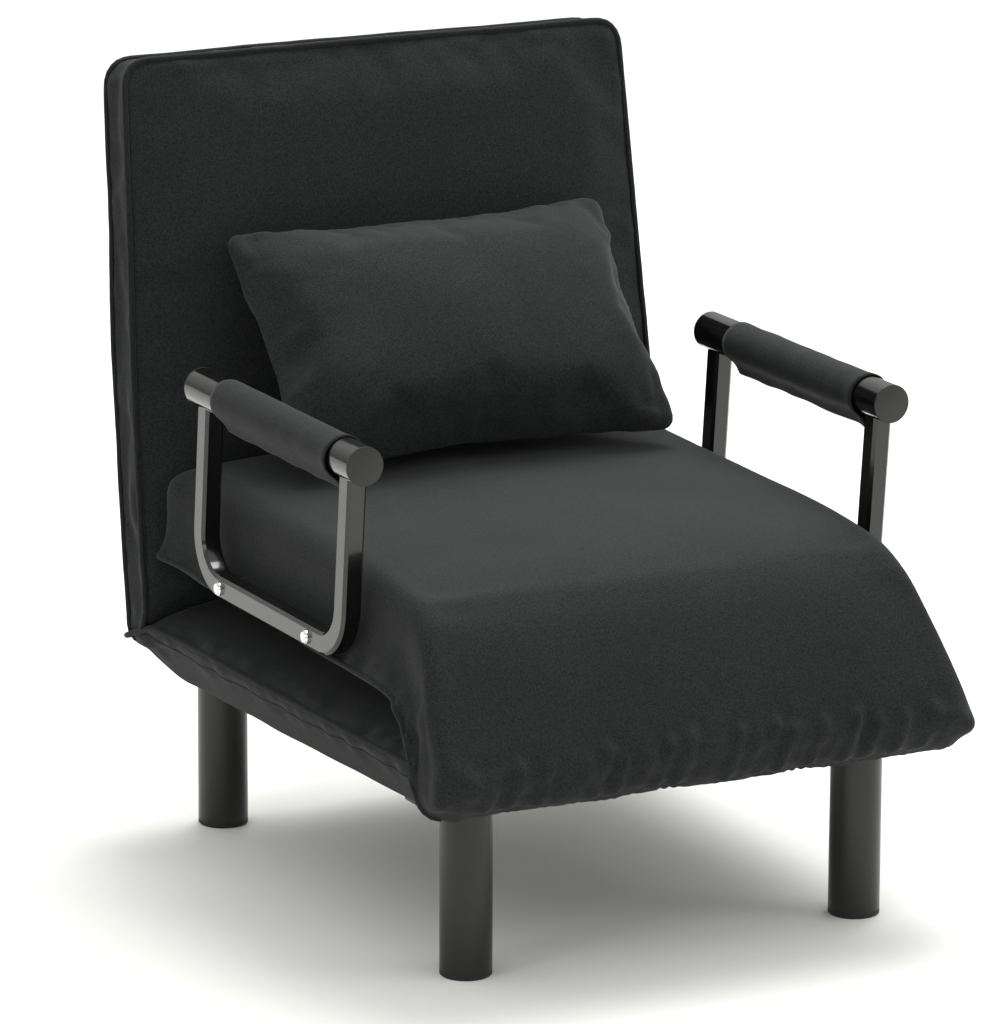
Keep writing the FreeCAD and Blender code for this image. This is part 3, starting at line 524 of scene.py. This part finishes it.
def seat_place(across, along, through):
    length = SEAT_LENGTHS[-1]
    roughly = station_at(along * length)
    low_y, low_z, top_y, top_z = smooth_path(SEAT_STATIONS, roughly)
    height = math.dist((low_y, low_z), (top_y, top_z))
    half = SEAT_HALF + (SEAT_FRONT_HALF - SEAT_HALF) * smooth_step(roughly, *WIDENING)
    half += SEAT_REAR_FLARE * (1 - smooth_step(roughly, *REAR_FLARE_ENDS))
    bulge = ROLL_BULGE * smooth_step(roughly, *BULGE_STARTS)
    half += bulge - HEM_NARROWING * smooth_step(roughly, *HEM_STARTS) ** 2
    box = ((2 * across - 1) * half, (0.5 - along) * length, (through - 0.5) * height)
    radius = min(SEAT_EDGE_RADIUS, height * ROUNDED_SHARE)
    x, y, z = softened(box, (half, length / 2, height / 2), radius, ((1, 1), (1, 1), (0, 1)))
    position = station_at(length / 2 - y)
    low_y, low_z, top_y, top_z = smooth_path(SEAT_STATIONS, position)
    share = z / height + 0.5
    crown = 1 - (x / half) ** 2
    roll = smooth_step(position, *ROLL_STARTS)
    lift = SEAT_CROWN * share * crown * (1 - ROLL_FLATTENING * roll)
    sag = SEAT_UNDER * (1 - share) ** 2 * crown * (1 - roll)
    draw = 1 - SEAT_WAIST * math.sin(math.pi * share) * (1 - roll)
    flare = SEAT_SEAM_FLARE / half * (1 - share) ** SEAM_FLARE_POWER
    draw += flare * smooth_step(position, *SEAM_FLARE_STARTS) * (1 - roll)
    out_y, out_z = (top_y - low_y) / height, (top_z - low_z) / height
    y = low_y + (top_y - low_y) * share + out_y * (lift - sag)
    z = low_z + (top_z - low_z) * share + out_z * (lift - sag)
    return at(x * draw + ROLL_SHIFT * smooth_step(position, *SHIFT_STARTS), y, z)


def on_seam(across, along, through):
    """The lower piping: from the left hem round the rear to the right hem."""
    if through > 0:
        return None
    if across == 0:
        return -1 - along
    if across == 1:
        return 1 + along
    return 2 * across - 1 if along == 0 else None


seat_cover, seat_shares = cloth_box("seat_cover", (56, 92, 9), seat_place)
seat_held = [i for i, share in enumerate(seat_shares) if on_seam(*share) is not None or share[1] == 1
             or (share[2] == 0 and share[1] > UNDERSIDE_HELD_FROM)]
settle(seat_cover, seat_held, pressure=1.4, ease=0.004, cap_mm=6.0)
relax(seat_cover, seat_held, times=3)
refine(seat_cover)
# Each hem fold is where it starts across the hem, how tall it is and how far it leans to the right.
HEM_FOLDS = [(-232, 40, 6), (-206, 64, 12), (-176, 46, 10), (-118, 70, 18), (-96, 40, 8), (-52, 56, 14),
             (-30, 78, 20), (22, 60, 16), (60, 84, 24), (78, 50, 14), (112, 66, 18), (150, 80, 22),
             (176, 48, 12), (205, 60, 16), (236, 74, 20)]
HEM_EDGE_Y = -346
HEM_EDGE_Z = 182
HEM_FACE_Y = -359
HEM_FACE_Z = 184
HEM_FOLD_RISE = 0.9
HEM_FOLD_DEPTH = 5.0
HEM_FOLD_WIDTH = 6.0
hem_folds = []
for x, tall, slant in HEM_FOLDS:
    foot = at(x, HEM_EDGE_Y, HEM_EDGE_Z)
    head = at(x + slant, HEM_FACE_Y, HEM_FACE_Z + tall * HEM_FOLD_RISE)
    hem_folds.append((foot, head, HEM_FOLD_DEPTH, HEM_FOLD_WIDTH))
CORNER_FOLDS = [((-284, -265, 322), (-284, -245, 291), 8.0, 5.0),
                ((-284, -280, 272), (-284, -296, 200), 5.5, 5.0),
                ((-284, -292, 300), (-285, -318, 214), 4.5, 5.5),
                ((-284, -262, 268), (-284, -290, 232), 4.0, 5.0),
                ((-283, -250, 284), (-283, -282, 296), 3.0, 6.0),
                ((-282, -238, 300), (-280, -252, 352), 2.4, 8.0)]
corner_folds = []
for start, end, depth, width in CORNER_FOLDS:
    for side in (1, -1):
        corner_folds.append((at(start[0] * side, *start[1:]), at(end[0] * side, *end[1:]), depth, width))
crease(seat_cover, hem_folds + corner_folds)
ripple(seat_cover, height_mm=1.6, spacing_mm=90.0, seed=3.0)


def on_hem(across, along, through):
    return across if along == 1 else None


gather(seat_cover, seat_shares, on_seam, depth_mm=4.0, spacing_mm=26.0, reach_mm=11.0, seed=2.0)
gather(seat_cover, seat_shares, on_hem, depth_mm=7.0, spacing_mm=24.0, reach_mm=20.0, seed=8.0)
seat_piping = piping("seat_piping", seat_cover, seat_shares, on_seam, closed=False)
dress(seat_cover, cover_cloth)
for piece in (seat_cover, seat_piping):
    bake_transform(piece)
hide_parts("seat_pad", "front_roll")
print("seat cover points:", len(seat_cover.data.vertices))

# %% [markdown]
# Backrest cover
# A flat box cushion: a crowned front, a band sewn between two piped seams, and a plain rear. Its top
# corners are rounded in outline. The rounding moves the grid's corner onto a quarter circle, so the
# rows stay neat there too.

# %% Backrest cover
BACK_LOW = -8.0
BACK_TOP = 578.0
BACK_FRONT = -31.0
BACK_REAR = 13.0
BACK_CORNER = 26.0
BACK_CROWN = 23.0
BACK_TAPER = 46.0
BACK_END = 16.0
BACK_PLUMPNESS = 0.42
BACK_LOW_SWELL = 0.03
BACK_REAR_CROWN = 3.0
BACK_BAND_WAIST = 0.012
BACK_TOP_WAIST = 3
BACK_HALVES = [(292,), (292,), (290,), (286,), (281,), (277,)]


def back_half(up):
    return smooth_path(BACK_HALVES, (up - BACK_LOW) / (BACK_TOP - BACK_LOW) * (len(BACK_HALVES) - 1))[0]


def back_place(across, deep, up):
    middle = (BACK_LOW + BACK_TOP) / 2
    tall = BACK_TOP - BACK_LOW
    half = back_half(BACK_LOW + up * tall)
    x, z, _ = softened(((2 * across - 1) * half, (up - 0.5) * tall, 0), (half, tall / 2, 1), BACK_CORNER,
                       ((1, 1), (1, 1), (0, 0)))
    swell = math.sin(math.pi * min(1.0, BACK_LOW_SWELL + (1 - BACK_LOW_SWELL) * up))
    bulge = (math.sin(math.pi * across) * swell) ** BACK_PLUMPNESS
    taper = 1 - smooth_step(up * tall, 0, BACK_TAPER)
    front = BACK_FRONT + (BACK_REAR - BACK_FRONT - BACK_END) * taper
    depth = front + (BACK_REAR - front) * deep - BACK_CROWN * bulge * (1 - deep) ** 2 * (1 - taper)
    depth += BACK_REAR_CROWN * bulge * deep ** 4
    band = math.sin(math.pi * deep)
    drawn = 1 - BACK_BAND_WAIST * band if across in (0, 1) else 1
    return on_back(x * drawn, depth, middle + z - (BACK_TOP_WAIST * band if up == 1 else 0))


def back_loop(side):
    def key(across, deep, up):
        if deep == side and (across in (0, 1) or up in (0, 1)):
            return math.atan2(up - 0.5, across - 0.5)
        return None
    return key


back_cover, back_shares = cloth_box("back_cover", (58, 6, 60), back_place)
back_held = [i for i, share in enumerate(back_shares) if back_loop(0)(*share) is not None
             or back_loop(1)(*share) is not None]
settle(back_cover, back_held, pressure=0.8, ease=0.008, cap_mm=6.0)
refine(back_cover)
BACK_FOLDS = [(on_back(-284, -36, 20), on_back(-190, -52, 62), 2.6, 9.0),
              (on_back(-286, -36, 60), on_back(-214, -50, 84), 2.0, 8.0),
              (on_back(284, -36, 30), on_back(200, -52, 70), 2.4, 9.0)]
crease(back_cover, BACK_FOLDS)
ripple(back_cover, height_mm=1.8, spacing_mm=120.0, seed=7.0)
for side in (0, 1):
    gather(back_cover, back_shares, back_loop(side), depth_mm=3.4, spacing_mm=30.0, reach_mm=12.0,
           seed=4.0 + side)
dress(back_cover, cover_cloth)
back_front_piping = piping("back_front_piping", back_cover, back_shares, back_loop(0), closed=True)
back_rear_piping = piping("back_rear_piping", back_cover, back_shares, back_loop(1), closed=True)
for piece in (back_cover, back_front_piping, back_rear_piping):
    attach(piece, "backrest")
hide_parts("back_pad")
print("backrest cover points:", len(back_cover.data.vertices))

# %% [markdown]
# Base cover
# The lower box has a slanted side panel, a narrow band above it, and a crowned top that the seat lies
# on. Its lower edge rises a little to the front and at the rear. The top edge droops to the rear, and
# the rear end is recessed between its corners, where the lower end of the backrest turns.

# %% Base cover
BASE_REAR_Y = 335.0
BASE_REAR_FLARE = 10.0
BASE_FRONT_Y = -300.0
BASE_REAR_RECESS = 17.0
RECESS_START_Y = 250
# The recess lies between the corners, as shares of the half width, and comes back in part at the ends
RECESS_SIDE = (0.87, 0.95)
RECESS_END = (0.965, 1.0)
RECESS_END_SHARE = 0.75
BASE_LOW_Z = 159
BASE_FRONT_RISE = 15
BASE_FRONT_RISE_POWER = 1.5
BASE_REAR_RISE = 21
REAR_RISE_START_Y = 236
BASE_DROOP = 46
DROOP_START_Y = 252
DROOP_PAST_REAR = 14
BASE_CROWN = 38
BASE_CROWN_POWER = 0.6
BASE_FRONT_TAPER = 0.12
CROWN_ENDS_Y = (255, 320)
FLARE_STARTS_Y = (200, 320)
# The side from its lower edge up, as half width and height. The last point only guides the curve's end
BASE_PROFILE = [(262, 0), (270, 16), (281, 40), (284, 53), (268, 68)]
BASE_PROFILE_STEPS = 3
BASE_SIDE_ROWS = 9
BASE_SEAM_SHARE = round(6 / BASE_SIDE_ROWS, 6)
SAME_SHARE = 1e-4


def base_place(across, along, through):
    y = BASE_REAR_Y + (BASE_FRONT_Y - BASE_REAR_Y) * along
    x = 2 * across - 1
    recess = 1 - smooth_step(abs(x), *RECESS_SIDE) + RECESS_END_SHARE * smooth_step(abs(x), *RECESS_END)
    y -= BASE_REAR_RECESS * recess * smooth_step(y, RECESS_START_Y, BASE_REAR_Y)
    low = BASE_LOW_Z + BASE_FRONT_RISE * along ** BASE_FRONT_RISE_POWER
    low += BASE_REAR_RISE * smooth_step(y, REAR_RISE_START_Y, BASE_REAR_Y)
    droop = BASE_DROOP * smooth_step(y, DROOP_START_Y, BASE_REAR_Y + DROOP_PAST_REAR)
    side, up = smooth_path(BASE_PROFILE, BASE_PROFILE_STEPS * through)
    crown = 1 - x * x
    inner = BASE_CROWN * through * crown ** BASE_CROWN_POWER
    top = low + up * (1 - BASE_FRONT_TAPER * along) - droop * through
    top += inner * (1 - smooth_step(y, *CROWN_ENDS_Y))
    flare = 1 + BASE_REAR_FLARE / side * smooth_step(y, *FLARE_STARTS_Y)
    return at(side * x * flare, y, max(top, low + 2) if through > 0 else low)


def base_seam(share_through):
    def key(across, along, through):
        if abs(through - share_through) > SAME_SHARE:
            return None
        if across == 0:
            return -1 - along
        if across == 1:
            return 1 + along
        return 2 * across - 1 if along == 0 else None
    return key


base_cover, base_shares = cloth_box("base_cover", (56, 66, BASE_SIDE_ROWS), base_place)
base_held = [i for i, share in enumerate(base_shares) if share[2] in (0, 1) or share[1] == 1
             or base_seam(BASE_SEAM_SHARE)(*share) is not None]
settle(base_cover, base_held, pressure=1.0, ease=0.02, cap_mm=5.0)
refine(base_cover)
BASE_FOLDS = [(at(-286, 316, 186), at(-284, 236, 203), 3.0, 6.0),
              (at(-284, 306, 202), at(-284, 250, 170), 3.0, 8.0),
              (at(284, 300, 176), at(284, 240, 204), 3.0, 8.0)]
crease(base_cover, BASE_FOLDS)
ripple(base_cover, height_mm=1.2, spacing_mm=70.0, seed=5.0)
gather(base_cover, base_shares, base_seam(1.0), depth_mm=4.0, spacing_mm=26.0, reach_mm=12.0, seed=6.0)
dress(base_cover, cover_cloth)
base_piping = piping("base_piping", base_cover, base_shares, base_seam(1.0), closed=False)
base_seam_line = piping("base_seam", base_cover, base_shares, base_seam(BASE_SEAM_SHARE), closed=False,
                        out_mm=0.3, radius=1.1)
for piece in (base_cover, base_piping, base_seam_line):
    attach(piece, "base")
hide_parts("base_pad")
print("base cover points:", len(base_cover.data.vertices))

# %% [markdown]
# Pillow
# The loose pillow is two panels sewn face to face and turned, so it is thick in the middle and ends
# in a knife edge. Filling pulls the edges in between the corners, and the pull runs from the corners
# as creases.

# %% Pillow
PILLOW_HALF_W = 212.0
PILLOW_HALF_H = 135.0
PILLOW_HALF_T = 60.0
PILLOW_CORNER = 20.0
PILLOW_PLACE = (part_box("pillow")[0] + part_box("pillow")[1]) / 2
PILLOW_LEAN = math.radians(40.3)
PILLOW_MIDDLE_WIDTH = 0.952
PILLOW_MIDDLE_HEIGHT = 0.93
PILLOW_PLUMPNESS = 0.42
PILLOW_EDGE_T = 1.5
FOLD_OUTER_DEPTH = 12
FOLD_INNER_DEPTH = 46
PILLOW_FOLD_WIDTH = 9.0


def pillow_spot(x, z, depth):
    """x and z run from -1 to 1 over the pillow's face; depth is in front of its seam, in millimetres."""
    wide = PILLOW_HALF_W * (PILLOW_MIDDLE_WIDTH + (1 - PILLOW_MIDDLE_WIDTH) * z * z)
    tall = PILLOW_HALF_H * (PILLOW_MIDDLE_HEIGHT + (1 - PILLOW_MIDDLE_HEIGHT) * x * x)
    spot = Vector((x * wide, -depth, z * tall))
    return PILLOW_PLACE + Matrix.Rotation(-PILLOW_LEAN, 3, "X") @ spot * MM


def pillow_place(across, deep, up):
    x = 2 * across - 1
    z = 2 * up - 1
    swell = ((1 - x * x) * (1 - z * z)) ** PILLOW_PLUMPNESS
    depth = (1 - 2 * deep) * (PILLOW_HALF_T * swell + PILLOW_EDGE_T)
    flat = softened((x * PILLOW_HALF_W, z * PILLOW_HALF_H, 0), (PILLOW_HALF_W, PILLOW_HALF_H, 1),
                    PILLOW_CORNER, ((1, 1), (1, 1), (0, 0)))
    return pillow_spot(flat[0] / PILLOW_HALF_W, flat[1] / PILLOW_HALF_H, depth)


pillow_cover, pillow_shares = cloth_box("pillow_cover", (52, 2, 34), pillow_place)
pillow_held = [i for i, share in enumerate(pillow_shares) if share[0] in (0, 1) or share[2] in (0, 1)]
settle(pillow_cover, pillow_held, pressure=1.5, ease=0.03, cap_mm=9.0)
refine(pillow_cover)
PILLOW_FOLDS = [((-0.97, 0.62), (-0.6, 0.42), 3.4), ((-0.97, 0.1), (-0.62, 0.22), 3.0),
                ((-0.96, -0.55), (-0.6, -0.3), 3.2), ((-0.8, -0.95), (-0.62, -0.55), 2.6),
                ((0.97, 0.45), (0.68, 0.3), 2.6), ((0.97, -0.35), (0.66, -0.2), 2.8),
                ((0.75, 0.95), (0.6, 0.62), 2.4), ((-0.35, 0.96), (-0.25, 0.66), 2.2)]
pillow_folds = []
for start, end, depth in PILLOW_FOLDS:
    outer = pillow_spot(*start, FOLD_OUTER_DEPTH)
    inner = pillow_spot(*end, FOLD_INNER_DEPTH)
    pillow_folds.append((outer, inner, depth, PILLOW_FOLD_WIDTH))
crease(pillow_cover, pillow_folds)
ripple(pillow_cover, height_mm=2.6, spacing_mm=70.0, seed=11.0)


def pillow_edge(across, deep, up):
    return 1 if across in (0, 1) or up in (0, 1) else None


gather(pillow_cover, pillow_shares, pillow_edge, depth_mm=4.0, spacing_mm=24.0, reach_mm=12.0, seed=9.0)
dress(pillow_cover, cover_cloth)
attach(pillow_cover, "pillow")
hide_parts("pillow")
print("pillow points:", len(pillow_cover.data.vertices))

# %% [markdown]
# Arm sleeves
# Each arm bar wears a sleeve of the same cloth, a flat strip wrapped round the steel and closed
# underneath, where its two edges hang as a narrow flap. Its front mouth stands open a little. The
# sleeve is a ring of points pulled along the bar in steps, and then given the thickness of the cloth.

# %% Arm sleeves
SLEEVE_RING = 40
SLEEVE_STEPS = 44
SLEEVE_RADIUS = 20.3
SLEEVE_WAVE = 0.9
MOUTH_START = 0.93
MOUTH_FLARE = 1.8
MOUTH_SAG = 1.2
FLAP_DROP = 14.0
FLAP_ANGLE = 0.34
FLAP_PINCH = 0.75
CLOTH_MM = 1.6


def sleeve_point(centre, angle, share):
    """angle runs from the flap at the bottom; share from the rear mouth to the front mouth."""
    mouth = smooth_step(share, MOUTH_START, 1.0)
    wave = noise.noise(Vector((share * 9, math.sin(angle) * 1.3, centre.x * 10)))
    radius = SLEEVE_RADIUS + SLEEVE_WAVE * wave + MOUTH_FLARE * mouth
    near = math.exp(-(min(angle, math.tau - angle) / FLAP_ANGLE) ** 2)
    drop = FLAP_DROP * near * (0.85 + 0.3 * noise.noise(Vector((share * 5, 4.0, centre.x * 10))))
    side = math.sin(angle) * radius * (1 - FLAP_PINCH * near)
    return centre + Vector((side, 0, -math.cos(angle) * radius - drop - MOUTH_SAG * mouth)) * MM


def arm_sleeve(name, bar, old):
    low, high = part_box(bar)
    old_low, old_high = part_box(old)
    bar_x = (low.x + high.x) / 2
    bar_z = (low.z + high.z) / 2
    bm = bmesh.new()
    bmesh.ops.create_circle(bm, segments=SLEEVE_RING, radius=1.0)
    ring = bm.verts[:]
    angles = [math.tau * i / SLEEVE_RING for i in range(SLEEVE_RING)]
    edges = bm.edges[:]
    for step in range(SLEEVE_STEPS + 1):
        share = step / SLEEVE_STEPS
        centre = Vector((bar_x, old_high.y + (old_low.y - old_high.y) * share, bar_z))
        if step:
            made = bmesh.ops.extrude_edge_only(bm, edges=edges)["geom"]
            edges = [item for item in made if isinstance(item, bmesh.types.BMEdge)]
            ring = [item for item in made if isinstance(item, bmesh.types.BMVert)]
        for vert, angle in zip(ring, angles):
            vert.co = sleeve_point(centre, angle, share)
    bmesh.ops.recalc_face_normals(bm, faces=bm.faces[:])
    bmesh.ops.solidify(bm, geom=bm.faces[:], thickness=CLOTH_MM * MM)
    bmesh.ops.recalc_face_normals(bm, faces=bm.faces[:])
    mesh = bpy.data.meshes.new(name)
    bm.to_mesh(mesh)
    bm.free()
    mesh.shade_smooth()
    piece = bpy.data.objects.new(name, mesh)
    bpy.context.scene.collection.objects.link(piece)
    dress(piece, cover_cloth)
    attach(piece, "seat")
    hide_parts(old)


arm_sleeve("left_sleeve", "arm_bar_left", "arm_sleeve_left")
arm_sleeve("right_sleeve", "arm_bar_right", "arm_sleeve_right")

# %% [markdown]
# Floor and light
# A catalogue picture like this one is made on a pale floor with large softboxes. The floor here is
# flat and wide. Further out it glows a little, so that it fades into the bright background.

# %% Studio
FLOOR_COLOUR = "#f1f1ee"
FLOOR_HALF_SIZE = 40.0
GLOW_START = 1.2
GLOW_FULL = 3.5
GLOW_STRENGTH = 0.2


def studio_floor():
    bm = bmesh.new()
    bmesh.ops.create_grid(bm, x_segments=1, y_segments=1, size=FLOOR_HALF_SIZE)
    mesh = bpy.data.meshes.new("floor")
    bm.to_mesh(mesh)
    bm.free()
    floor = bpy.data.objects.new("floor", mesh)
    bpy.context.scene.collection.objects.link(floor)
    material, tree, shader = new_material("pale_floor")
    shader.inputs["Base Color"].default_value = linear(FLOOR_COLOUR)
    shader.inputs["Roughness"].default_value = 0.9
    place = add_node(tree, "ShaderNodeTexCoord").outputs["Object"]
    reach = add_node(tree, "ShaderNodeVectorMath", {0: place}, operation="LENGTH")
    far = add_node(tree, "ShaderNodeMapRange", {"Value": reach.outputs["Value"], "From Min": GLOW_START,
                                                "From Max": GLOW_FULL, "To Min": 0.0,
                                                "To Max": GLOW_STRENGTH}, interpolation_type="SMOOTHSTEP")
    shader.inputs["Emission Color"].default_value = (1.0, 1.0, 1.0, 1.0)
    tree.links.new(far.outputs["Result"], shader.inputs["Emission Strength"])
    dress(floor, material)


studio_floor()


def softbox(name, place, target, size, power):
    data = bpy.data.lights.new(name, "AREA")
    data.shape = "RECTANGLE"
    data.size, data.size_y = size
    data.energy = power
    lamp = bpy.data.objects.new(name, data)
    lamp.location = place
    lamp.rotation_euler = (Vector(target) - Vector(place)).to_track_quat("-Z", "Y").to_euler()
    bpy.context.scene.collection.objects.link(lamp)


softbox("overhead", (0.8, 0.9, 3.0), (0, 0, 0.3), (2.0, 2.0), 95)
softbox("left_window", (-3.2, -1.2, 1.8), (0, 0, 0.35), (0.6, 2.2), 9)
softbox("right_fill", (3.0, -2.4, 1.6), (0, 0, 0.3), (1.6, 2.2), 20)

# The room is bright overhead and dim at eye level, so tops read light and sides dark
world = bpy.data.worlds.new("studio")
world.use_nodes = True
tree = world.node_tree
ray = add_node(tree, "ShaderNodeTexCoord").outputs["Generated"]
up = add_node(tree, "ShaderNodeSeparateXYZ", {"Vector": ray}).outputs["Z"]
glow = add_node(tree, "ShaderNodeMapRange", {"Value": up, "From Min": 0.0, "From Max": 0.8,
                                             "To Min": 0.3, "To Max": 1.25})
background = tree.nodes["Background"]
background.inputs["Color"].default_value = linear("#f4f4f2")
tree.links.new(glow.outputs["Result"], background.inputs["Strength"])
bpy.context.scene.world = world
bpy.context.scene.view_settings.view_transform = "Standard"
